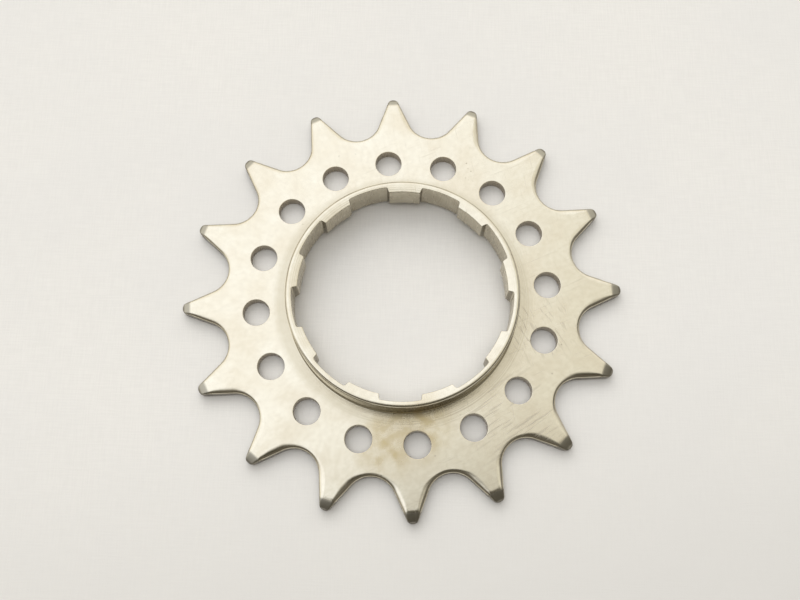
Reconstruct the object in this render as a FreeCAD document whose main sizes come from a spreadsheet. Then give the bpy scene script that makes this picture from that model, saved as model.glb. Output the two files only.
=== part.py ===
"""One-piece 16-tooth single-speed sprocket with a splined collar.

A flat steel toothed plate lies on its back face, with the raised collar upwards. The origin is the
bore's centre on the back face, +Z is the bore's axis and +Y passes through the middle of one spline
tab. All lengths are in millimetres and all angles in degrees.
"""
import FreeCAD, Part
from enum import IntEnum, auto
import math
import os
import Sketcher

# Driving dimensions
# name: (value, what it is)
DIMENSIONS = {
    "tooth_count": (16, "number of teeth"),
    "chain_pitch": (12.7, "pitch of the roller chain"),
    "seat_radius": (4.0, "radius of the seat for one chain roller"),
    "tooth_rise": (2.7, "rise of the tooth tips over the pitch circle"),
    "tip_width": (1.2, "width across a tooth tip before its corners are rounded"),
    "tip_rounding": (0.75, "radius of the corners of a tooth tip, seen from above"),
    "tooth_turn": (3.8, "turn of the first tooth from the first spline tab"),
    "plate_thickness": (2.1, "thickness of the toothed plate"),
    "front_break": (0.35, "width of the chamfer along the toothed outline on the front face"),
    "edge_break": (0.15, "width of the small chamfers on the other edges"),
    "relief_length": (1.45, "radial length of the turned relief on a tooth tip"),
    "relief_depth": (0.45, "depth of the turned relief at the tip"),
    "spline_count": (9, "number of spline tabs"),
    "spline_major": (34.8, "diameter at the bottom of the spline grooves"),
    "tab_height": (0.9, "radial height of a spline tab"),
    "groove_width": (6.4, "width of a spline groove at its bottom"),
    "groove_draft": (4.0, "lean of each groove flank"),
    "groove_fillet": (0.3, "radius in the corners of a spline groove"),
    "tab_rounding": (0.2, "radius on the corners of a spline tab"),
    "collar_wall": (1.0, "wall of the collar behind a spline groove"),
    "collar_height": (6.75, "height of the collar's end face over the back face"),
    "rim_chamfer": (0.3, "chamfer on the outer edge of the collar's end face"),
    "base_blend": (0.35, "width of the bevel between the collar and the plate"),
    "lead_in_step": (0.8, "radial step from a groove's bottom to the lead-in cone's widest circle"),
    "lead_in_angle": (40.0, "angle between the lead-in cone and the bore's axis"),
    "hole_count": (16, "number of lightening holes"),
    "hole_diameter": (4.3, "diameter of a lightening hole"),
    "hole_turn": (6.85, "turn of the first hole from the first spline tab"),
}
# Sizes that follow from the driving dimensions
# name: (formula, what it is)
DERIVED = {
    "pitch_radius": ("=chain_pitch / 2 / sin(180 / tooth_count)", "radius of the pitch circle"),
    "tip_radius": ("=pitch_radius + tooth_rise", "radius over the tooth tips"),
    "root_radius": ("=pitch_radius - seat_radius", "radius at the bottom of the tooth gaps"),
    "major_radius": ("=spline_major / 2", "radius at the bottom of the spline grooves"),
    "minor_radius": ("=major_radius - tab_height", "radius over the spline tabs' inner faces"),
    "collar_radius": ("=major_radius + collar_wall", "outer radius of the collar"),
    "lead_in_radius": ("=major_radius + lead_in_step", "radius of the lead-in cone at the back face"),
    "tip_bearing": ("=180 / tooth_count - tip_width / tip_radius * 90 / pi",
                    "angle from a gap's middle to the corner of a tooth tip"),
    "corner_x": ("=tip_radius * cos(tip_bearing) - pitch_radius",
                 "way from a seat's centre to the corner of the tip, along the gap's middle"),
    "corner_y": ("=tip_radius * sin(tip_bearing)", "the same way across the gap's middle"),
    "flank_lean": ("=atan2(corner_y; corner_x) - asin(seat_radius / hypot(corner_x; corner_y))",
                   "angle of a tooth flank to the gap's middle"),
    "hole_place": ("=(collar_radius + root_radius) / 2", "radius of the circle through the holes"),
}
CUT_MARGIN = 2.0  # how far a cutting profile runs past the metal
FLAT = 1e-6  # tolerance of a comparison of places


class Spot(IntEnum):
    """Points of a piece of sketch geometry."""
    START = auto()
    END = auto()
    CENTRE = auto()


AXIS_X = -1  # the sketch's own X axis, whose start is the origin
ORIGIN = (AXIS_X, Spot.START)


def size(name):
    """One size from the spreadsheet."""
    return float(FreeCAD.ActiveDocument.Sizes.get(name))


def make_sheet(doc):
    """The spreadsheet that drives the model: driving dimensions first, then what follows from them."""
    sheet = doc.addObject("Spreadsheet::Sheet", "Sizes")
    for row, (name, (content, meaning)) in enumerate({**DIMENSIONS, **DERIVED}.items(), start=1):
        sheet.set(f"A{row}", name)
        sheet.set(f"B{row}", str(content))
        sheet.set(f"C{row}", meaning)
        sheet.setAlias(f"B{row}", name)
    doc.recompute()
    return sheet


def origin_plane(body, role):
    return next(item for item in body.Origin.OriginFeatures if item.Role == role)


def new_sketch(body, name, role, turn=None):
    """A sketch on one of the body's own origin planes, turned about its normal by an expression."""
    sketch = body.newObject("Sketcher::SketchObject", name)
    sketch.AttachmentSupport = [(origin_plane(body, role), "")]
    sketch.MapMode = "FlatFace"
    if turn:
        sketch.setExpression(".AttachmentOffset.Rotation.Angle", turn)
    return sketch


def constrain(sketch, kind, *places, name=None, value=None, rule=None):
    """Adds one constraint, and binds it to the sheet where a rule is given."""
    numbers = [] if value is None else [value]
    index = sketch.addConstraint(Sketcher.Constraint(kind, *places, *numbers))
    if rule:
        sketch.renameConstraint(index, name)
        sketch.setExpression(f".Constraints.{name}", rule)
    return index


def add_profile(sketch, points):
    """Closed chain of lines through (x, y) points, joined end to end. Returns the lines' indexes."""
    corners = [FreeCAD.Vector(x, y, 0) for x, y in points]
    lines = []
    for here, there in zip(corners, corners[1:] + corners[:1]):
        lines.append(sketch.addGeometry(Part.LineSegment(here, there)))
    for line, following in zip(lines, lines[1:] + lines[:1]):
        constrain(sketch, "Coincident", line, Spot.END, following, Spot.START)
    return lines


def blank_section(body):
    """Half section of the turned blank: plate, plain bore and collar with its rim chamfer."""
    sketch = new_sketch(body, "BlankSection", "XZ_Plane")
    minor, collar = size("minor_radius"), size("collar_radius")
    tip, plate = size("tip_radius"), size("plate_thickness")
    height, rim = size("collar_height"), size("rim_chamfer")
    lines = add_profile(sketch, [
        (minor, 0), (tip, 0), (tip, plate), (collar, plate), (collar, height - rim),
        (collar - rim, height), (minor, height),
    ])
    back, edge, front, wall, chamfer, end, bore = lines
    for line in (back, front, end):
        constrain(sketch, "Horizontal", line)
    for line in (edge, wall, bore):
        constrain(sketch, "Vertical", line)
    constrain(sketch, "PointOnObject", back, Spot.START, AXIS_X)
    places = [
        ("minor_radius", "DistanceX", back, minor, "Sizes.minor_radius"),
        ("tip_radius", "DistanceX", edge, tip, "Sizes.tip_radius"),
        ("plate_level", "DistanceY", front, plate, "Sizes.plate_thickness"),
        ("collar_radius", "DistanceX", wall, collar, "Sizes.collar_radius"),
        ("chamfer_level", "DistanceY", chamfer, height - rim,
         "Sizes.collar_height - Sizes.rim_chamfer"),
        ("rim_radius", "DistanceX", end, collar - rim, "Sizes.collar_radius - Sizes.rim_chamfer"),
        ("end_level", "DistanceY", end, height, "Sizes.collar_height"),
    ]
    for name, kind, line, value, rule in places:
        constrain(sketch, kind, *ORIGIN, line, Spot.START, name=name, value=value, rule=rule)
    return sketch


def lead_in_sketch(body):
    """Section of the lead-in cone that opens the splined bore towards the back face."""
    sketch = new_sketch(body, "LeadInSection", "XZ_Plane")
    widest, inside = size("lead_in_radius"), size("minor_radius") - CUT_MARGIN
    slope = math.tan(math.radians(size("lead_in_angle")))
    below = widest + CUT_MARGIN * slope
    top = (widest - inside) / slope
    cone, axis_side, under = add_profile(
        sketch, [(below, -CUT_MARGIN), (inside, top), (inside, -CUT_MARGIN)]
    )
    constrain(sketch, "Vertical", axis_side)
    constrain(sketch, "Horizontal", under)
    constrain(sketch, "DistanceX", *ORIGIN, cone, Spot.START, name="below", value=below,
              rule=f"Sizes.lead_in_radius + {CUT_MARGIN} * tan(Sizes.lead_in_angle)")
    constrain(sketch, "DistanceY", cone, Spot.START, *ORIGIN, name="under", value=CUT_MARGIN,
              rule=f"{CUT_MARGIN}")
    constrain(sketch, "DistanceX", *ORIGIN, cone, Spot.END, name="inside", value=inside,
              rule=f"Sizes.minor_radius - {CUT_MARGIN}")
    constrain(sketch, "DistanceY", *ORIGIN, cone, Spot.END, name="top", value=top,
              rule=f"(Sizes.lead_in_radius - Sizes.minor_radius + {CUT_MARGIN})"
                   " / tan(Sizes.lead_in_angle)")
    return sketch


def gap_sketch(body):
    """Gap between two teeth: a roller seat and two straight flanks, symmetric about the X axis."""
    turn = "90 + Sizes.tooth_turn + 180 / Sizes.tooth_count"
    sketch = new_sketch(body, "ToothGap", "XY_Plane", turn)
    seat, pitch_radius = size("seat_radius"), size("pitch_radius")
    lean = math.radians(size("flank_lean"))
    outside = size("tip_radius") + CUT_MARGIN
    centre = FreeCAD.Vector(pitch_radius, 0, 0)
    start_x = pitch_radius - seat * math.sin(lean)
    start_y = seat * math.cos(lean)
    end_y = start_y + (outside - start_x) * math.tan(lean)
    circle = Part.Circle(centre, FreeCAD.Vector(0, 0, 1), seat)
    first, last = math.pi / 2 + lean, 3 * math.pi / 2 - lean
    arc = sketch.addGeometry(Part.ArcOfCircle(circle, first, last))
    corners = [(start_x, start_y), (outside, end_y), (outside, -end_y), (start_x, -start_y)]
    corners = [FreeCAD.Vector(x, y, 0) for x, y in corners]
    upper, closing, lower = (
        sketch.addGeometry(Part.LineSegment(here, there)) for here, there in zip(corners, corners[1:])
    )
    constrain(sketch, "Tangent", arc, Spot.START, upper, Spot.START)
    constrain(sketch, "Coincident", upper, Spot.END, closing, Spot.START)
    constrain(sketch, "Coincident", closing, Spot.END, lower, Spot.START)
    constrain(sketch, "Tangent", arc, Spot.END, lower, Spot.END)
    constrain(sketch, "PointOnObject", arc, Spot.CENTRE, AXIS_X)
    constrain(sketch, "Symmetric", upper, Spot.END, lower, Spot.START, AXIS_X)
    constrain(sketch, "Radius", arc, name="seat", value=seat, rule="Sizes.seat_radius")
    constrain(sketch, "DistanceX", *ORIGIN, arc, Spot.CENTRE, name="pitch_radius", value=pitch_radius,
              rule="Sizes.pitch_radius")
    constrain(sketch, "Angle", upper, name="lean", value=lean, rule="Sizes.flank_lean")
    constrain(sketch, "DistanceX", *ORIGIN, upper, Spot.END, name="outside", value=outside,
              rule=f"Sizes.tip_radius + {CUT_MARGIN}")
    return sketch


def groove_sketch(body):
    """Spline groove between two tabs, symmetric about the X axis."""
    turn = "90 + 180 / Sizes.spline_count"
    sketch = new_sketch(body, "SplineGroove", "XY_Plane", turn)
    major, half = size("major_radius"), size("groove_width") / 2
    inside = size("minor_radius") - CUT_MARGIN
    draft = math.radians(size("groove_draft"))
    end_x = math.sqrt(major ** 2 - half ** 2)
    mouth = half + (end_x - inside) * math.tan(draft)
    spread = math.atan2(half, end_x)
    circle = Part.Circle(FreeCAD.Vector(0, 0, 0), FreeCAD.Vector(0, 0, 1), major)
    arc = sketch.addGeometry(Part.ArcOfCircle(circle, -spread, spread))
    corners = [(end_x, half), (inside, mouth), (inside, -mouth), (end_x, -half)]
    corners = [FreeCAD.Vector(x, y, 0) for x, y in corners]
    upper, closing, lower = (
        sketch.addGeometry(Part.LineSegment(here, there)) for here, there in zip(corners, corners[1:])
    )
    constrain(sketch, "Coincident", arc, Spot.END, upper, Spot.START)
    constrain(sketch, "Coincident", upper, Spot.END, closing, Spot.START)
    constrain(sketch, "Coincident", closing, Spot.END, lower, Spot.START)
    constrain(sketch, "Coincident", lower, Spot.END, arc, Spot.START)
    constrain(sketch, "Coincident", arc, Spot.CENTRE, *ORIGIN)
    constrain(sketch, "Symmetric", upper, Spot.END, lower, Spot.START, AXIS_X)
    constrain(sketch, "Vertical", lower, Spot.END, upper, Spot.START)
    constrain(sketch, "Radius", arc, name="major_radius", value=major, rule="Sizes.major_radius")
    constrain(sketch, "DistanceY", lower, Spot.END, upper, Spot.START, name="width", value=2 * half,
              rule="Sizes.groove_width")
    constrain(sketch, "DistanceX", *ORIGIN, upper, Spot.END, name="inside", value=inside,
              rule=f"Sizes.minor_radius - {CUT_MARGIN}")
    constrain(sketch, "DistanceY", lower, Spot.START, upper, Spot.END, name="mouth", value=2 * mouth,
              rule="Sizes.groove_width + 2 * tan(Sizes.groove_draft) * (sqrt(Sizes.major_radius ^ 2"
                   f" - Sizes.groove_width ^ 2 / 4) - Sizes.minor_radius + {CUT_MARGIN})")
    return sketch


def hole_sketch(body):
    """One lightening hole on its circle."""
    sketch = new_sketch(body, "LighteningHole", "XY_Plane", "90 + Sizes.hole_turn")
    centre = FreeCAD.Vector(size("hole_place"), 0, 0)
    circle = Part.Circle(centre, FreeCAD.Vector(0, 0, 1), size("hole_diameter") / 2)
    hole = sketch.addGeometry(circle)
    constrain(sketch, "PointOnObject", hole, Spot.CENTRE, AXIS_X)
    constrain(sketch, "Diameter", hole, name="diameter", value=size("hole_diameter"),
              rule="Sizes.hole_diameter")
    constrain(sketch, "DistanceX", *ORIGIN, hole, Spot.CENTRE, name="place", value=centre.x,
              rule="Sizes.hole_place")
    return sketch


def relief_sketch(body):
    """Section of the turned relief on both faces of the tooth tips."""
    sketch = new_sketch(body, "TipRelief", "XZ_Plane")
    tip, plate = size("tip_radius"), size("plate_thickness")
    length, depth = size("relief_length"), size("relief_depth")
    inner, outer = tip - length, tip + CUT_MARGIN
    drop = depth * (1 + CUT_MARGIN / length)
    drop_rule = f"Sizes.relief_depth * (1 + {CUT_MARGIN} / Sizes.relief_length)"
    sides = [
        ("front", plate, plate - drop, plate + CUT_MARGIN, "Sizes.plate_thickness",
         f"Sizes.plate_thickness - {drop_rule}", f"Sizes.plate_thickness + {CUT_MARGIN}"),
        ("back", 0.0, drop, -CUT_MARGIN, None, drop_rule, f"{CUT_MARGIN}"),
    ]
    for side, level, sunk, clear, level_rule, sunk_rule, clear_rule in sides:
        slope, outer_side, cover, inner_side = add_profile(
            sketch, [(inner, level), (outer, sunk), (outer, clear), (inner, clear)]
        )
        constrain(sketch, "Vertical", outer_side)
        constrain(sketch, "Horizontal", cover)
        constrain(sketch, "Vertical", inner_side)
        constrain(sketch, "DistanceX", *ORIGIN, slope, Spot.START, name=f"{side}_inner", value=inner,
                  rule="Sizes.tip_radius - Sizes.relief_length")
        constrain(sketch, "DistanceX", *ORIGIN, slope, Spot.END, name=f"{side}_outer", value=outer,
                  rule=f"Sizes.tip_radius + {CUT_MARGIN}")
        if level_rule:
            constrain(sketch, "DistanceY", *ORIGIN, slope, Spot.START, name=f"{side}_level",
                      value=level, rule=level_rule)
            cover_ends = (*ORIGIN, cover, Spot.START)
        else:
            constrain(sketch, "PointOnObject", slope, Spot.START, AXIS_X)
            cover_ends = (cover, Spot.START, *ORIGIN)
        constrain(sketch, "DistanceY", *ORIGIN, slope, Spot.END, name=f"{side}_sunk", value=sunk,
                  rule=sunk_rule)
        constrain(sketch, "DistanceY", *cover_ends, name=f"{side}_clear", value=abs(clear),
                  rule=clear_rule)
    return sketch


def revolve(body, kind, name, sketch):
    """A Revolution or Groove of a sketch once round the Z axis."""
    feature = body.newObject(f"PartDesign::{kind}", name)
    feature.Profile = sketch
    feature.ReferenceAxis = (origin_plane(body, "Z_Axis"), [""])
    feature.Angle = 360
    return feature


def cut_through(body, name, sketch):
    """A pocket from the back face's level up through everything."""
    feature = body.newObject("PartDesign::Pocket", name)
    feature.Profile = sketch
    feature.Type = "ThroughAll"
    feature.Reversed = True
    return feature


def repeat(body, name, feature, count_rule):
    """A polar pattern of one cut round the Z axis."""
    pattern = body.newObject("PartDesign::PolarPattern", name)
    pattern.Originals = [feature]
    pattern.Axis = (origin_plane(body, "Z_Axis"), [""])
    pattern.Angle = 360
    pattern.setExpression("Occurrences", count_rule)
    body.Tip = pattern
    return pattern


def edge_names(feature, belongs):
    """Names of a feature's edges for which belongs(edge) is true."""
    edges = enumerate(feature.Shape.Edges, start=1)
    return [f"Edge{number}" for number, edge in edges if belongs(edge)]


def dress(body, kind, name, base, belongs, amount, rule):
    """A Fillet or Chamfer on the edges of the base feature that belong."""
    feature = body.newObject(f"PartDesign::{kind}", name)
    names = edge_names(base, belongs)
    if not names:
        raise RuntimeError(f"{name} finds no edge")
    feature.Base = (base, names)
    amount_property = "Radius" if kind == "Fillet" else "Size"
    setattr(feature, amount_property, amount)
    feature.setExpression(amount_property, rule)
    body.Tip = feature
    return feature


def radii(edge):
    """Distances of an edge's ends and middle from the Z axis."""
    middle = edge.valueAt((edge.FirstParameter + edge.LastParameter) / 2)
    places = [vertex.Point for vertex in edge.Vertexes] + [middle]
    return [math.hypot(place.x, place.y) for place in places]


def lies_at(edge, level):
    box = edge.BoundBox
    return abs(box.ZMin - level) < FLAT and abs(box.ZMax - level) < FLAT


def is_upright(edge):
    box = edge.BoundBox
    return box.ZLength > FLAT and box.XLength < FLAT and box.YLength < FLAT


def is_outline(level):
    """Test for the toothed outline's edges at a level."""
    return lambda edge: lies_at(edge, level) and min(radii(edge)) > size("hole_place")


def is_circle(level, radius):
    """Test for whole circles of a radius at a level."""
    def belongs(edge):
        round_edge = isinstance(edge.Curve, Part.Circle) and edge.isClosed()
        return round_edge and lies_at(edge, level) and abs(edge.Curve.Radius - radius) < FLAT
    return belongs


def is_corner(radius):
    """Test for upright edges at a distance from the Z axis."""
    return lambda edge: is_upright(edge) and abs(radii(edge)[0] - radius) < FLAT


def make_sprocket(doc):
    """The whole part: turned blank, teeth, lightening holes and splined bore."""
    body = doc.addObject("PartDesign::Body", "Sprocket")
    body.Label = "sprocket"
    blank = revolve(body, "Revolution", "Blank", blank_section(body))
    doc.recompute()

    gap = cut_through(body, "Gap", gap_sketch(body))
    teeth = repeat(body, "Teeth", gap, "Sizes.tooth_count")
    doc.recompute()
    tips = dress(body, "Fillet", "TipCorners", teeth, is_corner(size("tip_radius")),
                 size("tip_rounding"), "Sizes.tip_rounding")
    doc.recompute()
    front = dress(body, "Chamfer", "FrontBreak", tips, is_outline(size("plate_thickness")),
                  size("front_break"), "Sizes.front_break")
    doc.recompute()
    back = dress(body, "Chamfer", "BackBreak", front, is_outline(0), size("edge_break"),
                 "Sizes.edge_break")
    doc.recompute()
    relief = revolve(body, "Groove", "Relief", relief_sketch(body))
    doc.recompute()

    hole = cut_through(body, "Hole", hole_sketch(body))
    holes = repeat(body, "Holes", hole, "Sizes.hole_count")
    doc.recompute()
    is_mouth = is_circle(size("plate_thickness"), size("hole_diameter") / 2)
    is_exit = is_circle(0, size("hole_diameter") / 2)
    mouths = dress(body, "Chamfer", "HoleEdges", holes, lambda edge: is_mouth(edge) or is_exit(edge),
                   size("edge_break"), "Sizes.edge_break")
    doc.recompute()

    groove = cut_through(body, "Groove", groove_sketch(body))
    splines = repeat(body, "Splines", groove, "Sizes.spline_count")
    doc.recompute()
    roots = dress(body, "Fillet", "GrooveCorners", splines, is_corner(size("major_radius")),
                  size("groove_fillet"), "Sizes.groove_fillet")
    doc.recompute()
    tabs = dress(body, "Fillet", "TabCorners", roots, is_corner(size("minor_radius")),
                 size("tab_rounding"), "Sizes.tab_rounding")
    doc.recompute()
    lead_in = revolve(body, "Groove", "LeadIn", lead_in_sketch(body))
    doc.recompute()
    is_base = is_circle(size("plate_thickness"), size("collar_radius"))
    dress(body, "Chamfer", "CollarBase", lead_in, is_base, size("base_blend"), "Sizes.base_blend")
    doc.recompute()
    check_volumes([blank, teeth, tips, front, back, relief, holes, mouths, splines])
    check_volumes([tabs, lead_in])
    return body


def check_volumes(features):
    """Each step after the blank takes metal away."""
    volumes = [feature.Shape.Volume for feature in features]
    for feature, before, after in zip(features[1:], volumes, volumes[1:]):
        if not 0 < after < before:
            raise RuntimeError(f"{feature.Name} takes no metal away: {before:.3f} to {after:.3f}")


def check_document(doc, bodies):
    """Stops where any object failed or a solid isn't sound."""
    for item in doc.Objects:
        if "Invalid" in item.State or "Error" in item.State:
            raise RuntimeError(f"{item.Name} is in state {item.State}")
    for body in bodies:
        shape = body.Shape
        if shape.isNull() or not shape.isValid() or len(shape.Solids) != 1:
            raise RuntimeError(f"{body.Label} is not one valid solid")
        box = shape.BoundBox
        print(f"{body.Label}: {box.XLength:.3f} x {box.YLength:.3f} x {box.ZLength:.3f} mm,"
              f" {shape.Volume:.1f} mm3, {len(shape.Faces)} faces")


def main():
    doc = FreeCAD.newDocument("SingleSpeedSprocket")
    make_sheet(doc)
    bodies = [make_sprocket(doc)]
    check_document(doc, bodies)
    os.makedirs("parts", exist_ok=True)
    for body in bodies:
        body.Shape.exportStep(f"parts/{body.Label}.step")


main()
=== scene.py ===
"""A nickel-plated single-speed sprocket lying on pale cloth, seen from above.

The toothed plate, its lightening holes, the raised collar and the splined bore are one closed mesh that
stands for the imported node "sprocket". Sizes are in millimetres and angles in degrees until a mesh is
made, and every mesh is in metres.
"""
import math

import bmesh
import bpy
from mathutils import Matrix, Vector
from mathutils.geometry import delaunay_2d_cdt


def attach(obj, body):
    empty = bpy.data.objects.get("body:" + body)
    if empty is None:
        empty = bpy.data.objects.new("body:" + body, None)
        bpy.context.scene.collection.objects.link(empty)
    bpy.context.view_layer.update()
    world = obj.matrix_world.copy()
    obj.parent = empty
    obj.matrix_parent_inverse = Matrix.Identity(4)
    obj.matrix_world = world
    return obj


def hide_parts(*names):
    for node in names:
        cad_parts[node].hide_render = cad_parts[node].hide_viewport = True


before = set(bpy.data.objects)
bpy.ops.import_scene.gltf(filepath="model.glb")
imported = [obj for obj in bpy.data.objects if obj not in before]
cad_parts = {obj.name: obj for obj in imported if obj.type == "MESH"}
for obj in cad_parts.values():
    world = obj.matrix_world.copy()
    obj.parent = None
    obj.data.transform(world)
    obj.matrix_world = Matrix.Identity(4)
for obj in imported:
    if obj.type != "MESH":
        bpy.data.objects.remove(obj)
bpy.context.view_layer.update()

MM = 0.001
WELD = 2e-6  # metres under which two vertices are one

# The toothed plate
TEETH = 16
TOOTH_TURN = 3.8
PITCH_RADIUS = 12.7 / 2 / math.sin(math.pi / TEETH)
SEAT_RADIUS = 4.0
TIP_RADIUS = PITCH_RADIUS + 2.7
TIP_WIDTH = 1.3
TIP_ROUNDING = 0.85
PLATE = 2.1
ROLL_WIDTH = 1.0
ROOT_ROLL_WIDTH = 0.6
TIP_ROLL_WIDTH = 0.62
END_ROLL_WIDTH = 0.22
ROLL_DROP = 0.4
ROOT_ROLL_REACH = (28.6, 30.6)  # radii over which the roll widens from the gap to the flank
TIP_ROLL_REACH = (31.5, 34)  # and narrows towards the tip
BACK_BREAK = 0.15
FLAT_ROW = 0.06  # width of the flat row of faces behind a rounded edge

# The lightening holes
HOLE_LEAD = 3.05  # turn of a hole past its tooth
HOLE_RADIUS = 2.15
HOLE_BREAK = 0.06

# The turned relief of the tooth tips
RELIEF_RADIUS = 33.6
RELIEF_DEPTH = 0.42
RELIEF_POWER = 1.4
RELIEF_SHIFT = (-0.15, 0.3)  # the relief's centre, off the bore's axis

# The collar and the splined bore
SPLINES = 9
MAJOR_RADIUS = 17.4
MINOR_RADIUS = 16.5
GROOVE_WIDTH = 6.4
GROOVE_DRAFT = 4.0
GROOVE_FILLET = 0.3
TAB_ROUNDING = 0.2
COLLAR_RADIUS = 18.4
COLLAR_HEIGHT = 6.75
RIM_ROUNDING = 0.48
RIM_BREAK = 0.08
TAB_SLOPE_RADIUS = 17.78  # inside it the collar's end face slopes inwards
TAB_SLOPE = 8.0
BASE_FILLET = 0.25
LEAD_IN_RADIUS = 18.2
LEAD_IN_ANGLE = 40.0
HOLE_PLACE = (COLLAR_RADIUS + PITCH_RADIUS - SEAT_RADIUS) / 2

# Circles at which the plate's and the collar's meshes are joined
FRONT_SEAM = (COLLAR_RADIUS + BASE_FILLET + 0.1, COLLAR_RADIUS + BASE_FILLET + 0.5)
BACK_SEAM = (LEAD_IN_RADIUS + 0.2, LEAD_IN_RADIUS + 0.6)

# Colours of the plated faces, with painted shade at the collar's foot and on the tooth tips and ends
PALE_NICKEL = (0.65, 0.61, 0.5, 1)
WARM_NICKEL = (0.615, 0.56, 0.44, 1)
CLOUDY_NICKEL = (0.5, 0.44, 0.33, 1)
# Painted shade: a darker ring on the plate round the collar's foot, where the collar shades the plate
COLLAR_FOOT_SHADE = (0.45, 0.4, 0.29, 1)
BROWN_STAIN = (0.47, 0.375, 0.19, 1)
# Painted shade: the hollowed tooth tips darkened for the dark room they mirror
TIP_FACET_SHADE = (0.31, 0.29, 0.235, 1)
# Painted shade: the end of each tooth, darkened for the shaded cloth beside it
TIP_END_SHADE = (0.13, 0.115, 0.09, 1)
SCRATCH = (0.4, 0.35, 0.26, 1)
PIT = (0.2, 0.17, 0.12, 1)

# Colours of the walls, with painted shade on the tooth walls and the groove flanks
PALE_WALL = (0.63, 0.58, 0.46, 1)
WARM_WALL = (0.53, 0.48, 0.37, 1)
DRAWN_MARK = (0.42, 0.37, 0.28, 1)
HOLE_WALL = (0.42, 0.365, 0.28, 1)
# Painted shade: the outline walls of the teeth, darkened for the shaded cloth they mirror
TOOTH_WALL_SHADE = (0.2, 0.175, 0.135, 1)
# Painted shade: the flanks of the spline grooves, darkened as if in shade
GROOVE_FLANK_SHADE = (0.2, 0.175, 0.13, 1)

# Colours of the cloth, with painted shade on its near side
GAP_BETWEEN_THREADS = (0.61, 0.592, 0.558, 1)
THREAD = (0.655, 0.637, 0.598, 1)
SOFT_WAVE = (0.595, 0.583, 0.562, 1)
# Painted shade: the cloth darker towards the near, lower right side
NEAR_CLOTH_SHADE = (0.55, 0.535, 0.505, 1)

# Light of the room, by direction
CEILING_RIGHT = (1.18, 1.16, 1.07, 1)
CEILING_LEFT = (1.6, 1.64, 1.74, 1)
DIM_END = (0.2, 0.185, 0.16, 1)
BRIGHT_WALL = (1.45, 1.43, 1.38, 1)
NEAR_WALL = (0.17, 0.155, 0.13, 1)
NEAR_WALL_LOW = (0.1, 0.09, 0.07, 1)
ONLOOKER = (0.08, 0.07, 0.05, 1)
LOW_HORIZON = (0.55, 0.53, 0.47, 1)

# (middle, radius) of soft round patches on the front face
STAINS = [((2.5, -20.5, PLATE), 7.5), ((-2.0, -23.5, PLATE), 6.5)]
PIT_CLUSTERS = [((-10.0, 23.3, PLATE), 4.0), ((10.5, 21.3, PLATE), 3.2)]
RUBBED_PATCH = ((18.0, -19.0, PLATE), 11.0)
HATCHED_PATCH = ((21.5, -4.0, PLATE), 9.0)


def turned(place, degrees):
    """A place in the plane, turned about the origin."""
    return Matrix.Rotation(math.radians(degrees), 2) @ place


def unit(degrees):
    return Vector((math.cos(math.radians(degrees)), math.sin(math.radians(degrees))))


def bearing(place):
    return math.degrees(math.atan2(place.y, place.x))


def meet_circle(start, direction, radius, side):
    """Where a line meets a circle round the origin: side picks the far (+1) or near (-1) crossing."""
    along = start.dot(direction)
    return start + direction * (side * math.sqrt(along ** 2 - start.length_squared + radius ** 2) - along)


def arc(centre, radius, first, last, steps, metal_outside):
    """(place, direction into the metal) along an arc from one bearing to another."""
    points = []
    for step in range(steps + 1):
        out = unit(first + (last - first) * step / steps)
        points.append((centre + out * radius, out if metal_outside else -out))
    return points


def straight(start, end, into_metal, steps):
    """The same along a line, without its ends."""
    return [(start.lerp(end, step / steps), into_metal) for step in range(1, steps)]


def mirrored(half):
    """A half outline that ends on the X axis, followed by its mirror image."""
    flip = Vector((1, -1))
    return half + [(place * flip, into * flip) for place, into in reversed(half[:-1])]


def tooth_outline():
    """One tooth from gap middle to gap middle, its tip on the X axis."""
    half_pitch = 180 / TEETH
    seat = Vector((PITCH_RADIUS, 0))
    corner = unit(half_pitch - math.degrees(TIP_WIDTH / 2 / TIP_RADIUS)) * TIP_RADIUS
    way = corner - seat
    lean = bearing(way) - math.degrees(math.asin(SEAT_RADIUS / way.length))
    along, into = unit(lean), unit(lean + 90)
    flank = seat + into * SEAT_RADIUS
    rounding = meet_circle(flank + into * TIP_ROUNDING, along, TIP_RADIUS - TIP_ROUNDING, 1)
    half = arc(seat, SEAT_RADIUS, 180, lean + 90, 16, True)
    half += straight(flank, rounding - into * TIP_ROUNDING, into, 14)
    half += arc(rounding, TIP_ROUNDING, lean - 90, bearing(rounding), 7, False)
    half += arc(Vector((0, 0)), TIP_RADIUS, bearing(rounding), half_pitch, 1, False)[1:]
    return mirrored([(turned(place, -half_pitch), turned(into, -half_pitch)) for place, into in half])


def groove_outline():
    """The bore from tab middle to tab middle, a groove's middle on the X axis."""
    draft = math.radians(GROOVE_DRAFT)
    along, into = Vector((-math.cos(draft), math.sin(draft))), Vector((math.sin(draft), math.cos(draft)))
    half_width = GROOVE_WIDTH / 2
    corner = Vector((math.sqrt(MAJOR_RADIUS ** 2 - half_width ** 2), half_width))
    root = meet_circle(corner - into * GROOVE_FILLET, along, MAJOR_RADIUS - GROOVE_FILLET, -1)
    tab = meet_circle(corner + into * TAB_ROUNDING, along, MINOR_RADIUS + TAB_ROUNDING, -1)
    origin = Vector((0, 0))
    half = arc(origin, MINOR_RADIUS, 180 / SPLINES, bearing(tab), 8, True)[:-1]
    half += arc(tab, TAB_ROUNDING, bearing(tab) + 180, bearing(-into) + 360, 6, False)
    half += straight(tab - into * TAB_ROUNDING, root + into * GROOVE_FILLET, into, 2)
    half += arc(root, GROOVE_FILLET, bearing(into), bearing(root), 6, True)
    half += arc(origin, MAJOR_RADIUS, bearing(root), 0, 10, True)[1:]
    return mirrored(half)


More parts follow.
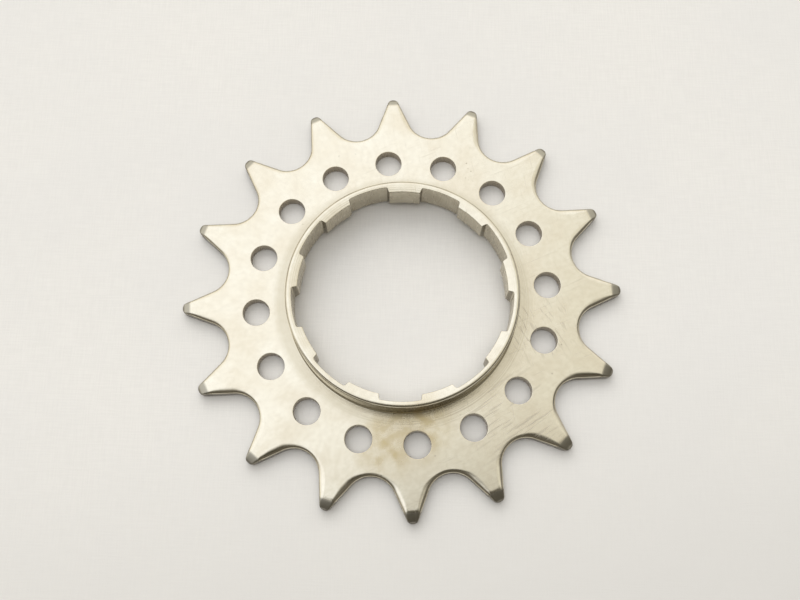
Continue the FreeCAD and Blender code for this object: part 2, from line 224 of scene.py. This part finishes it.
class Shell:
    """Vertices and faces of an open mesh, gathered row by row."""

    def __init__(self):
        self.places = []
        self.faces = []

    def add(self, places):
        first = len(self.places)
        self.places.extend(places)
        return range(first, len(self.places))

    def strip(self, rows):
        """Quads between neighbouring rows of places."""
        rows = [self.add(row) for row in rows]
        for lower, upper in zip(rows, rows[1:]):
            for a, b, c, d in zip(lower, lower[1:], upper[1:], upper):
                self.faces.append((a, b, c, d))

    def patch(self, border, hole, inner, level):
        """Triangles that fill a flat border round a hole, through extra inner points."""
        loops = [border, hole]
        points = [point for loop in loops for point in loop]
        edges = []
        for loop in loops:
            first = len(edges)
            edges += [(first + i, first + (i + 1) % len(loop)) for i in range(len(loop))]
        found = delaunay_2d_cdt(points + inner, edges, [], 0, 1e-7)
        first = len(self.places)
        self.add([(point.x, point.y, level) for point in found[0]])
        for triangle in found[2]:
            middle = sum((found[0][i] for i in triangle), Vector((0, 0))) / 3
            if contains(border, middle) and not contains(hole, middle):
                self.faces.append(tuple(first + i for i in triangle))

    def mesh(self, name):
        mesh = bpy.data.meshes.new(name)
        mesh.from_pydata([Vector(place) * MM for place in self.places], [], self.faces)
        return mesh


def contains(loop, place):
    """Whether a closed loop runs round a place."""
    inside = False
    for a, b in zip(loop, loop[1:] + loop[:1]):
        if (a.y > place.y) != (b.y > place.y):
            crossing = a.x + (place.y - a.y) / (b.y - a.y) * (b.x - a.x)
            if crossing > place.x:
                inside = not inside
    return inside


def quarter(steps):
    """(share of the width, share of the drop) down a rounded edge, from the flat to the wall."""
    turns = [math.pi / 2 * step / steps for step in range(steps + 1)]
    return [(1 - math.sin(turn), 1 - math.cos(turn)) for turn in turns]


def smooth_share(value, low, high):
    """0 at low, 1 at high and smooth between them."""
    share = min(max((value - low) / (high - low), 0), 1)
    return share * share * (3 - 2 * share)


def roll_width(place, into):
    """Width of the rolled edge, which is widest on the flanks and least on the end of a tooth."""
    width = ROOT_ROLL_WIDTH + (ROLL_WIDTH - ROOT_ROLL_WIDTH) * smooth_share(place.length, *ROOT_ROLL_REACH)
    width += (TIP_ROLL_WIDTH - ROLL_WIDTH) * smooth_share(place.length, *TIP_ROLL_REACH)
    end = smooth_share(-into.dot(place.normalized()), 0.45, 0.95) if place.length > TIP_RADIUS - 2 else 0
    return width + (END_ROLL_WIDTH - width) * end


def tooth_sector():
    """One tooth with its lightening hole: both faces of the plate, the outline wall and the hole wall."""
    shell = Shell()
    outline = tooth_outline()
    half_pitch = 180 / TEETH
    centre = unit(HOLE_LEAD) * HOLE_PLACE
    hole = arc(centre, HOLE_RADIUS, 0, 360, 48, True)

    def rows(line, faces):
        return [[(*(place + into * inset), level) for place, into in line] for inset, level in faces]

    def rolled(width, extra=0):
        return [place + into * (width * roll_width(place, into) + extra) for place, into in outline]

    front = [[(*place, PLATE) for place in rolled(1, FLAT_ROW)]]
    front += [[(*place, PLATE - drop * ROLL_DROP) for place in rolled(width)] for width, drop in quarter(8)]
    back = [(width * BACK_BREAK, drop * BACK_BREAK) for width, drop in reversed(quarter(3))]
    back += [(BACK_BREAK + FLAT_ROW, 0)]
    shell.strip(front + rows(outline, back))
    mouth = [(HOLE_BREAK + FLAT_ROW, PLATE)]
    mouth += [(width * HOLE_BREAK, PLATE - drop * HOLE_BREAK) for width, drop in quarter(3)]
    mouth += [(width * HOLE_BREAK, drop * HOLE_BREAK) for width, drop in reversed(quarter(3))]
    mouth += [(HOLE_BREAK + FLAT_ROW, 0)]
    shell.strip(rows(hole, mouth))

    back_rim = [place + into * (BACK_BREAK + FLAT_ROW) for place, into in outline]
    for level, rim, seam in ((PLATE, rolled(1, FLAT_ROW), FRONT_SEAM[1]), (0, back_rim, BACK_SEAM[1])):
        border = rim + [unit(half_pitch - half_pitch * i / 12) * seam for i in range(25)]
        ring = [place + into * (HOLE_BREAK + FLAT_ROW) for place, into in hole[:-1]]
        inner = [place for place in tip_grid() if contains(rim, place) and nearest(rim, place) > 0.08]
        shell.patch(border, ring, inner, level)
    return shell.mesh("tooth_sector")


def tip_grid():
    """Fine triangular grid over a tooth's tip, where the turned relief runs out."""
    pitch, row_step, lead, rows, half_columns = 0.2, 0.174, 0.6, 21, 14
    grid = []
    for row in range(rows):
        for column in range(-half_columns, half_columns + 1):
            x = RELIEF_RADIUS - lead + row * row_step
            y = (column + row % 2 / 2) * pitch
            grid.append(Vector((x, y)))
    return grid


def nearest(loop, place):
    return min((point - place).length for point in loop)


def end_level(place):
    """Height of the collar's end face, which slopes down over the spline tabs."""
    return COLLAR_HEIGHT - max(TAB_SLOPE_RADIUS - place.length, 0) * math.tan(math.radians(TAB_SLOPE))


def groove_sector():
    """One spline groove with half a tab each side: lead-in, bore wall, rim, collar wall and its foot."""
    shell = Shell()
    outline = groove_outline()
    cone = math.tan(math.radians(LEAD_IN_ANGLE))

    def circle(radius, level):
        return [(*(place.normalized() * radius), level) for place, _ in outline]

    rows = [circle(BACK_SEAM[0], 0), circle(LEAD_IN_RADIUS + 0.1, 0), circle(LEAD_IN_RADIUS, 0.03)]
    rows.append(circle(LEAD_IN_RADIUS - 0.06, 0.06 / cone))
    rows.append([(*place, (LEAD_IN_RADIUS - place.length) / cone) for place, _ in outline])
    for width, drop in reversed(quarter(4)):
        inset = [place + into * width * RIM_BREAK for place, into in outline]
        rows.append([(*place, end_level(place) - drop * RIM_BREAK) for place in inset])
    rows.append([(*place, end_level(place)) for place in (at + into * RIM_BREAK * 1.4 for at, into in outline)])
    rows.append(circle(TAB_SLOPE_RADIUS + 0.04, COLLAR_HEIGHT - 0.001))
    rows.append(circle(TAB_SLOPE_RADIUS + 0.08, COLLAR_HEIGHT))
    rows += [circle(COLLAR_RADIUS - width * RIM_ROUNDING, COLLAR_HEIGHT - drop * RIM_ROUNDING)
             for width, drop in quarter(8)]
    rows += [circle(COLLAR_RADIUS + drop * BASE_FILLET, PLATE + width * BASE_FILLET)
             for width, drop in quarter(6)]
    rows.append(circle(FRONT_SEAM[0], PLATE))
    shell.strip(rows)
    return shell.mesh("groove_sector")


class Graph:
    """A node tree, with its nodes set and linked in one call."""

    def __init__(self, tree):
        self.tree = tree
        for node in list(tree.nodes):
            tree.nodes.remove(node)

    def add(self, kind, inputs=None, **settings):
        """Adds a node. An input is a value or another node's output."""
        node = self.tree.nodes.new(kind)
        for name, value in settings.items():
            setattr(node, name, value)
        for name, value in (inputs or {}).items():
            socket = node.inputs[name]
            if isinstance(value, bpy.types.NodeSocket):
                self.tree.links.new(value, socket)
            else:
                socket.default_value = value
        return node

    def math(self, operation, *values, clamp=False):
        node = self.add("ShaderNodeMath", dict(enumerate(values)), operation=operation, use_clamp=clamp)
        return node.outputs[0]

    def fade(self, value, low, high):
        """0 at low, 1 at high and smooth between them."""
        inputs = {"Value": value, "From Min": low, "From Max": high}
        return self.add("ShaderNodeMapRange", inputs, interpolation_type="SMOOTHSTEP").outputs[0]

    def blend(self, factor, first, second):
        node = self.add("ShaderNodeMix", data_type="RGBA")
        for socket, value in zip((node.inputs[0], node.inputs[6], node.inputs[7]), (factor, first, second)):
            if isinstance(value, bpy.types.NodeSocket):
                self.tree.links.new(value, socket)
            else:
                socket.default_value = value
        return node.outputs[2]


def repeat_round_axis():
    """Geometry Nodes tree that repeats a sector round the Z axis and welds it into one ring."""
    tree = bpy.data.node_groups.new("repeat_round_axis", "GeometryNodeTree")
    sockets = [("Sector", "NodeSocketGeometry"), ("Count", "NodeSocketInt"), ("Turn", "NodeSocketFloat"),
               ("Weld", "NodeSocketFloat"), ("Finish", "NodeSocketMaterial")]
    for name, kind in sockets:
        tree.interface.new_socket(name, in_out="INPUT", socket_type=kind)
    tree.interface.new_socket("Ring", in_out="OUTPUT", socket_type="NodeSocketGeometry")
    graph = Graph(tree)
    given = graph.add("NodeGroupInput").outputs
    points = graph.add("GeometryNodePoints", {"Count": given["Count"]})
    step = graph.math("DIVIDE", 2 * math.pi, given["Count"])
    index = graph.add("GeometryNodeInputIndex").outputs[0]
    turn = graph.math("MULTIPLY_ADD", index, step, given["Turn"])
    rotation = graph.add("ShaderNodeCombineXYZ", {"Z": turn}).outputs[0]
    copies = graph.add("GeometryNodeInstanceOnPoints", {
        "Points": points.outputs[0], "Instance": given["Sector"], "Rotation": rotation,
    })
    real = graph.add("GeometryNodeRealizeInstances", {"Geometry": copies.outputs[0]})
    welded = graph.add("GeometryNodeMergeByDistance", {
        "Geometry": real.outputs[0], "Distance": given["Weld"],
    })
    finished = graph.add("GeometryNodeSetMaterial", {
        "Geometry": welded.outputs[0], "Material": given["Finish"],
    })
    graph.add("NodeGroupOutput", {"Ring": finished.outputs[0]})
    return tree


def ring_of(tree, sector, count, turn, finish):
    """The mesh of a sector repeated all round, turned by some degrees."""
    piece = bpy.data.objects.new(sector.name, sector)
    bpy.context.collection.objects.link(piece)
    modifier = piece.modifiers.new("repeat", "NODES")
    modifier.node_group = tree
    names = {item.name: item.identifier for item in tree.interface.items_tree if item.in_out == "INPUT"}
    values = {"Count": count, "Turn": math.radians(turn), "Weld": WELD, "Finish": finish}
    for name, value in values.items():
        modifier[names[name]] = value
    evaluated = piece.evaluated_get(bpy.context.evaluated_depsgraph_get())
    mesh = bpy.data.meshes.new_from_object(evaluated)
    bpy.data.objects.remove(piece)
    return mesh


def smooth_larger(first, second):
    """The larger of two lengths, with a small blend where they are alike."""
    return (first ** 4 + second ** 4) ** 0.25


def turn_relief(shell):
    """Turns the shallow hollow into both faces of the tooth tips."""
    reach = TIP_RADIUS - RELIEF_RADIUS
    for vertex in shell.verts:
        x, y, z = vertex.co / MM
        share = (math.hypot(x - RELIEF_SHIFT[0], y - RELIEF_SHIFT[1]) - RELIEF_RADIUS) / reach
        if share <= 0:
            continue
        hollow = RELIEF_DEPTH * min(share, 1) ** RELIEF_POWER
        if z > PLATE / 2:
            z = PLATE - smooth_larger(PLATE - z, hollow)
        else:
            z = smooth_larger(z, hollow)
        vertex.co.z = z * MM


def zip_rings(shell, level):
    """Fills the gap between the two open rings at a level with a flat band of triangles."""
    found = {vertex for edge in shell.edges if edge.is_boundary for vertex in edge.verts}
    found = sorted((vertex for vertex in found if abs(vertex.co.z - level) < WELD),
                   key=lambda vertex: math.atan2(vertex.co.y, vertex.co.x))
    middle = sum(vertex.co.xy.length for vertex in found) / len(found)
    inner = [vertex for vertex in found if vertex.co.xy.length < middle]
    outer = [vertex for vertex in found if vertex.co.xy.length >= middle]
    rings = []
    for ring in (inner, outer):
        bearings = [math.atan2(vertex.co.y, vertex.co.x) for vertex in ring]
        rings.append(list(zip(bearings + [bearings[0] + 2 * math.pi], ring + [ring[0]])))
    inner, outer = rings
    i = j = 0
    while i < len(inner) - 1 or j < len(outer) - 1:
        if j == len(outer) - 1 or (i < len(inner) - 1 and inner[i + 1][0] < outer[j + 1][0]):
            shell.faces.new((inner[i][1], outer[j][1], inner[i + 1][1]))
            i += 1
        else:
            shell.faces.new((inner[i][1], outer[j][1], outer[j + 1][1]))
            j += 1


def make_sprocket(plated, broached):
    """The closed mesh of the whole sprocket."""
    tree = repeat_round_axis()
    shell = bmesh.new()
    shell.from_mesh(ring_of(tree, tooth_sector(), TEETH, 90 + TOOTH_TURN, plated))
    shell.from_mesh(ring_of(tree, groove_sector(), SPLINES, 90 + 180 / SPLINES, plated))
    for level in (0, PLATE):
        zip_rings(shell, level * MM)
    turn_relief(shell)
    bmesh.ops.recalc_face_normals(shell, faces=shell.faces)
    for face in shell.faces:
        face.smooth = True
        middle = face.calc_center_median()
        away = math.hypot(middle.x, middle.y) / MM
        wall = abs(face.normal.z) < 0.45 and not MAJOR_RADIUS + 0.05 < away < FRONT_SEAM[1]
        face.material_index = 1 if wall else 0
    mesh = bpy.data.meshes.new("sprocket_plated")
    shell.to_mesh(mesh)
    shell.free()
    mesh.materials.append(plated)
    mesh.materials.append(broached)
    mesh.set_sharp_from_angle(angle=math.radians(28))
    piece = bpy.data.objects.new("sprocket_plated", mesh)
    bpy.context.collection.objects.link(piece)
    return piece


def new_material(name):
    material = bpy.data.materials.new(name)
    material.use_nodes = True
    return material, Graph(material.node_tree)


def new_group(name, inputs, outputs):
    """An empty shader group with float or vector inputs and float outputs."""
    tree = bpy.data.node_groups.new(name, "ShaderNodeTree")
    for socket, kind in inputs.items():
        tree.interface.new_socket(socket, in_out="INPUT", socket_type=f"NodeSocket{kind}")
    for socket in outputs:
        tree.interface.new_socket(socket, in_out="OUTPUT", socket_type="NodeSocketFloat")
    graph = Graph(tree)
    return tree, graph, graph.add("NodeGroupInput").outputs


def millimetres(graph):
    """Object coordinates in millimetres."""
    place = graph.add("ShaderNodeTexCoord").outputs["Object"]
    return graph.add("ShaderNodeMapping", {"Vector": place, "Scale": (1 / MM,) * 3}).outputs[0]


def noise(graph, place, scale, detail=2.0, roughness=0.5):
    inputs = {"Vector": place, "Scale": scale, "Detail": detail, "Roughness": roughness}
    return graph.add("ShaderNodeTexNoise", inputs).outputs[0]


def cloud_group():
    """Slow patchy change over a surface."""
    tree, graph, given = new_group("cloud", {"Place": "Vector", "Scale": "Float"}, ["Cloud"])
    value = noise(graph, given["Place"], given["Scale"], 4.0, 0.55)
    graph.add("NodeGroupOutput", {"Cloud": graph.fade(value, 0.3, 0.7)})
    return tree


def streak_group():
    """Fine straight lines along one direction: scratches, drawn marks or threads."""
    inputs = {"Place": "Vector", "Angle": "Float", "Spacing": "Float", "Length": "Float",
              "Low": "Float", "High": "Float"}
    tree, graph, given = new_group("streaks", inputs, ["Streaks"])
    turned_place = graph.add("ShaderNodeVectorRotate", {
        "Vector": given["Place"], "Angle": given["Angle"],
    }, rotation_type="Z_AXIS").outputs[0]
    shares = graph.add("ShaderNodeCombineXYZ", {
        "X": graph.math("DIVIDE", 1, given["Length"]), "Y": graph.math("DIVIDE", 1, given["Spacing"]),
        "Z": graph.math("DIVIDE", 1, given["Length"]),
    }).outputs[0]
    stretched = graph.add("ShaderNodeVectorMath", {0: turned_place, 1: shares}, operation="MULTIPLY")
    value = noise(graph, stretched.outputs[0], 1.0, 2.0)
    graph.add("NodeGroupOutput", {"Streaks": graph.fade(value, given["Low"], given["High"])})
    return tree


def patch_group():
    """A soft round patch: 1 at its middle, 0 outside its radius."""
    tree, graph, given = new_group(
        "patch", {"Place": "Vector", "Middle": "Vector", "Radius": "Float"}, ["Patch"]
    )
    way = graph.add("ShaderNodeVectorMath", {0: given["Place"], 1: given["Middle"]}, operation="DISTANCE")
    share = graph.math("DIVIDE", way.outputs["Value"], given["Radius"])
    graph.add("NodeGroupOutput", {"Patch": graph.fade(share, 1.0, 0.2)})
    return tree


class Finishes:
    """The materials, and the groups that they share."""

    def __init__(self):
        self.cloud_tree = cloud_group()
        self.streak_tree = streak_group()
        self.patch_tree = patch_group()

    def cloud(self, graph, place, scale):
        node = graph.add("ShaderNodeGroup", node_tree=self.cloud_tree)
        graph.tree.links.new(place, node.inputs["Place"])
        node.inputs["Scale"].default_value = scale
        return node.outputs[0]

    def streaks(self, graph, place, angle, spacing, length, low=0.55, high=0.75):
        node = graph.add("ShaderNodeGroup", node_tree=self.streak_tree)
        graph.tree.links.new(place, node.inputs["Place"])
        values = {"Angle": math.radians(angle), "Spacing": spacing, "Length": length, "Low": low, "High": high}
        for name, value in values.items():
            node.inputs[name].default_value = value
        return node.outputs[0]

    def patch(self, graph, place, middle, radius):
        node = graph.add("ShaderNodeGroup", node_tree=self.patch_tree)
        graph.tree.links.new(place, node.inputs["Place"])
        node.inputs["Middle"].default_value = middle
        node.inputs["Radius"].default_value = radius
        return node.outputs[0]

    def either_patch(self, graph, place, patches):
        """The larger of two patches."""
        return graph.math("MAXIMUM", *(self.patch(graph, place, *patch) for patch in patches))

    def radius(self, graph, place):
        """Distance from the bore's axis."""
        flat = graph.add("ShaderNodeVectorMath", {0: place, 1: (1, 1, 0)}, operation="MULTIPLY")
        return graph.add("ShaderNodeVectorMath", {0: flat.outputs[0]}, operation="LENGTH").outputs["Value"]

    def plated_steel(self):
        """Warm nickel plate over turned steel, with polishing marks, fine scratches, pits and a stain, and
        painted shade at the collar's foot and on the tooth tips and ends.
        """
        material, graph = new_material("plated_steel")
        place = millimetres(graph)
        axes = graph.add("ShaderNodeSeparateXYZ", {0: place}).outputs
        radius = self.radius(graph, place)
        cloud = self.cloud(graph, place, 0.16)
        grain = self.cloud(graph, place, 1.3)

        colour = graph.blend(cloud, PALE_NICKEL, WARM_NICKEL)
        colour = graph.blend(graph.math("MULTIPLY", grain, 0.2), colour, CLOUDY_NICKEL)
        # Painted shade: darkens the plate in a ring round the foot of the collar
        foot = graph.math("MULTIPLY", graph.fade(radius, 21.3, 19.6), 0.58)
        foot = graph.math("MULTIPLY", foot, graph.fade(axes["Z"], PLATE + 0.6, PLATE))
        colour = graph.blend(foot, colour, COLLAR_FOOT_SHADE)
        stain = self.either_patch(graph, place, STAINS)
        uneven = graph.math("MULTIPLY_ADD", self.cloud(graph, place, 0.42), 0.8, 0.2)
        stain = graph.math("MULTIPLY", stain, uneven)
        colour = graph.blend(graph.math("MULTIPLY", stain, 0.8), colour, BROWN_STAIN)
        # Painted shade: the hollowed tooth tips, darker past the relief's edge
        shift = graph.add("ShaderNodeVectorMath", {0: place, 1: (*RELIEF_SHIFT, 0)}, operation="SUBTRACT")
        tip = graph.fade(self.radius(graph, shift.outputs[0]), RELIEF_RADIUS + 0.1, RELIEF_RADIUS + 0.55)
        colour = graph.blend(graph.math("MULTIPLY", tip, 0.85), colour, TIP_FACET_SHADE)
        # Painted shade: darkens a strip at the end of each tooth
        end = graph.math("MULTIPLY", graph.fade(radius, TIP_RADIUS - 0.45, TIP_RADIUS - 0.1), 0.8)
        colour = graph.blend(end, colour, TIP_END_SHADE)

        rubbed = self.patch(graph, place, *RUBBED_PATCH)
        rubbed = graph.math("MULTIPLY", rubbed, self.streaks(graph, place, -36, 0.42, 6.0, 0.56, 0.64))
        hatched = self.patch(graph, place, *HATCHED_PATCH)
        hatched = graph.math("MULTIPLY", hatched, self.streaks(graph, place, 60, 0.4, 2.5, 0.56, 0.65))
        hairs = graph.math("ADD", self.streaks(graph, place, -25, 0.12, 6.0, 0.66, 0.72),
                           self.streaks(graph, place, 78, 0.12, 5.0, 0.67, 0.73))
        fewer_left = graph.math("MULTIPLY_ADD", graph.fade(axes["X"], -14, 8), 0.6, 0.15)
        hairs = graph.math("MULTIPLY", hairs, fewer_left)
        marks = graph.math("ADD", graph.math("ADD", rubbed, hatched), hairs, clamp=True)
        specks = graph.add("ShaderNodeTexVoronoi", {"Vector": place, "Scale": 0.42})
        specks = graph.math("MULTIPLY", graph.fade(specks.outputs["Distance"], 0.07, 0.03),
                            graph.fade(noise(graph, place, 0.11), 0.5, 0.58))
        clusters = self.either_patch(graph, place, PIT_CLUSTERS)
        pits = graph.add("ShaderNodeTexVoronoi", {"Vector": place, "Scale": 1.1})
        pits = graph.math("MULTIPLY", graph.fade(pits.outputs["Distance"], 0.15, 0.07), clusters)
        specks = graph.math("MAXIMUM", specks, pits)
        colour = graph.blend(graph.math("MULTIPLY", marks, 0.36), colour, SCRATCH)
        colour = graph.blend(graph.math("MULTIPLY", specks, 0.5), colour, PIT)

        rings = graph.add("ShaderNodeTexNoise", {"W": radius, "Scale": 4.0, "Detail": 2.0},
                          noise_dimensions="1D").outputs[0]
        turned_zone = graph.math("MULTIPLY_ADD", graph.fade(radius, 21.4, 20.6), 3.5, 0.35)
        height = graph.math("MULTIPLY_ADD", rings, turned_zone, graph.math("MULTIPLY", grain, 0.35))
        height = graph.math("SUBTRACT", height, graph.math("MULTIPLY", marks, 0.3))
        height = graph.math("SUBTRACT", height, specks)
        bump = graph.add("ShaderNodeBump", {"Height": height, "Strength": 0.5, "Distance": 0.006 * MM})
        rough = graph.math("MULTIPLY_ADD", cloud, 0.06, graph.math("MULTIPLY_ADD", marks, 0.1, 0.17))
        shader = graph.add("ShaderNodeBsdfPrincipled", {
            "Base Color": colour, "Metallic": 1.0, "Normal": bump.outputs[0],
            "Roughness": graph.math("MULTIPLY_ADD", graph.math("MAXIMUM", stain, tip), 0.12, rough),
        })
        graph.add("ShaderNodeOutputMaterial", {"Surface": shader.outputs[0]})
        return material

    def broached_bore(self):
        """The bore's plated walls, with the drawn marks of the cutting tool along the axis, and painted shade
        on the tooth walls and the groove flanks.
        """
        material, graph = new_material("broached_bore")
        place = millimetres(graph)
        sideways = graph.add("ShaderNodeVectorRotate", {
            "Vector": place, "Angle": math.pi / 2,
        }, rotation_type="Y_AXIS").outputs[0]
        drawn = self.streaks(graph, sideways, 0, 0.3, 6.0, 0.3, 0.7)
        cloud = self.cloud(graph, place, 0.5)
        colour = graph.blend(cloud, PALE_WALL, WARM_WALL)
        colour = graph.blend(graph.math("MULTIPLY", drawn, 0.25), colour, DRAWN_MARK)
        radius = self.radius(graph, place)
        plate_wall = graph.fade(radius, 19.0, 20.5)
        colour = graph.blend(plate_wall, colour, HOLE_WALL)
        # Painted shade: darkens the outline walls of the teeth
        colour = graph.blend(graph.fade(radius, 26.5, 28.0), colour, TOOTH_WALL_SHADE)
        # Painted shade: darkens the bore's walls where they face sideways, on the groove flanks
        flat = graph.add("ShaderNodeVectorMath", {0: place, 1: (1, 1, 0)}, operation="MULTIPLY")
        outwards = graph.add("ShaderNodeVectorMath", {0: flat.outputs[0]}, operation="NORMALIZE")
        facing = graph.add("ShaderNodeVectorMath", {
            0: graph.add("ShaderNodeNewGeometry").outputs["Normal"], 1: outwards.outputs[0],
        }, operation="DOT_PRODUCT").outputs["Value"]
        flank = graph.fade(graph.math("ABSOLUTE", facing), 0.85, 0.45)
        flank = graph.math("MULTIPLY", flank, graph.math("SUBTRACT", 0.7, plate_wall, clamp=True))
        colour = graph.blend(flank, colour, GROOVE_FLANK_SHADE)
        bump = graph.add("ShaderNodeBump", {"Height": drawn, "Strength": 0.4, "Distance": 0.006 * MM})
        shader = graph.add("ShaderNodeBsdfPrincipled", {
            "Base Color": colour, "Metallic": 1.0, "Normal": bump.outputs[0],
            "Roughness": graph.math("MULTIPLY_ADD", drawn, 0.1, 0.22),
        })
        graph.add("ShaderNodeOutputMaterial", {"Surface": shader.outputs[0]})
        return material

    def pale_cloth(self):
        """White cotton with a fine plain weave, a few soft waves and painted shade towards the near, lower
        right side.
        """
        material, graph = new_material("pale_cloth")
        place = millimetres(graph)
        warp = self.streaks(graph, place, 90, 0.22, 4.0, 0.3, 0.7)
        weft = self.streaks(graph, place, 0, 0.24, 4.0, 0.3, 0.7)
        waves = self.cloud(graph, place, 0.03)
        threads = graph.math("ADD", warp, weft)
        colour = graph.blend(graph.math("MULTIPLY", threads, 0.5), GAP_BETWEEN_THREADS, THREAD)
        colour = graph.blend(graph.math("MULTIPLY", waves, 0.4), colour, SOFT_WAVE)
        # Painted shade: darkens the cloth towards the near, lower right side
        axes = graph.add("ShaderNodeSeparateXYZ", {0: place}).outputs
        slant = graph.math("MULTIPLY_ADD", axes["X"], -0.15, axes["Y"])
        colour = graph.blend(graph.fade(slant, -5, -65), colour, NEAR_CLOTH_SHADE)
        height = graph.math("MULTIPLY_ADD", threads, 0.5, graph.math("MULTIPLY", waves, 8.0))
        bump = graph.add("ShaderNodeBump", {"Height": height, "Strength": 0.3, "Distance": 0.05 * MM})
        shader = graph.add("ShaderNodeBsdfPrincipled", {
            "Base Color": colour, "Roughness": 0.9, "Specular IOR Level": 0.1, "Normal": bump.outputs[0],
        })
        graph.add("ShaderNodeOutputMaterial", {"Surface": shader.outputs[0]})
        return material


def make_floor(cloth):
    """The pale cloth under the sprocket."""
    half = 1.5
    mesh = bpy.data.meshes.new("cloth_floor")
    corners = [(-half, -half, 0), (half, -half, 0), (half, half, 0), (-half, half, 0)]
    mesh.from_pydata(corners, [], [(0, 1, 2, 3)])
    mesh.materials.append(cloth)
    floor = bpy.data.objects.new("cloth_floor", mesh)
    bpy.context.collection.objects.link(floor)


def make_room():
    """Soft light of a room: bright from the upper left, dim at the right, dark on the near side."""
    world = bpy.data.worlds.new("room")
    bpy.context.scene.world = world
    world.use_nodes = True
    graph = Graph(world.node_tree)
    way = graph.add("ShaderNodeTexCoord").outputs["Generated"]
    axes = graph.add("ShaderNodeSeparateXYZ", {0: way}).outputs
    slant = graph.math("MULTIPLY_ADD", axes["Y"], 0.5, graph.math("MULTIPLY", axes["X"], -1))
    ceiling = graph.blend(graph.fade(slant, -0.1, 0.22), CEILING_RIGHT, CEILING_LEFT)
    slant = graph.math("MULTIPLY_ADD", axes["Y"], 0.9, graph.math("MULTIPLY", axes["X"], -0.45))
    side = graph.blend(graph.fade(slant, -0.3, 0.45), DIM_END, BRIGHT_WALL)
    slant = graph.math("MULTIPLY_ADD", axes["Y"], -0.6, axes["X"])
    ceiling = graph.blend(graph.fade(slant, 0.4, 0.58), ceiling, DIM_END)
    room = graph.blend(graph.fade(axes["Z"], 0.6, 0.9), side, ceiling)
    room = graph.blend(graph.fade(axes["Y"], -0.12, -0.42), room, NEAR_WALL)
    room = graph.blend(graph.fade(axes["Y"], -0.6, -0.85), room, NEAR_WALL_LOW)
    onlooker = graph.add("ShaderNodeVectorMath", {0: way, 1: (0.12, -0.22, 0.97)}, operation="DISTANCE")
    room = graph.blend(graph.fade(onlooker.outputs["Value"], 0.38, 0.14), room, ONLOOKER)
    room = graph.blend(graph.fade(axes["Z"], 0.42, 0.26), room, LOW_HORIZON)
    light = graph.add("ShaderNodeBackground", {"Color": room, "Strength": 1.0})
    graph.add("ShaderNodeOutputWorld", {"Surface": light.outputs[0]})


def area_light(name, place, size, power):
    """A soft square white lamp aimed at the sprocket. The metal mirrors the room and not the lamp."""
    lamp = bpy.data.lights.new(name, "AREA")
    lamp.size = size
    lamp.energy = power
    piece = bpy.data.objects.new(name, lamp)
    piece.location = place
    piece.rotation_euler = (-Vector(place)).to_track_quat("-Z", "Y").to_euler()
    piece.visible_glossy = False
    bpy.context.collection.objects.link(piece)


FRAMING = Vector((-0.005, 0.15, 0)) * MM  # evens out the fit of the teeth and of the holes


def make_camera():
    """The photograph's camera: a steep look from above the near side."""
    place = Vector((0.041, -41.273, 150.221)) * MM
    aim = Vector((-0.379, -0.375, PLATE)) * MM
    place += FRAMING
    aim += FRAMING
    roll = math.radians(0.647)
    camera = bpy.data.cameras.new("camera")
    camera.lens = 43.108
    camera.sensor_width = 36
    camera.clip_start = 0.01
    look = (aim - place).normalized()
    level = look.cross(Vector((0, 0, 1))).normalized()
    right = Matrix.Rotation(-roll, 3, look) @ level
    up = right.cross(look)
    piece = bpy.data.objects.new("camera", camera)
    piece.matrix_world = Matrix((right, up, -look)).transposed().to_4x4()
    piece.location = place
    bpy.context.collection.objects.link(piece)
    bpy.context.scene.camera = piece


def main():
    bpy.context.scene.view_settings.view_transform = "Standard"
    finishes = Finishes()
    sprocket = make_sprocket(finishes.plated_steel(), finishes.broached_bore())
    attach(sprocket, "root")
    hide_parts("sprocket")
    make_floor(finishes.pale_cloth())
    make_room()
    area_light("window", (-0.12, 0.36, 0.42), 0.4, 0.95)
    area_light("overhead", (0.02, -0.12, 0.75), 0.5, 2.3)
    make_camera()


main()
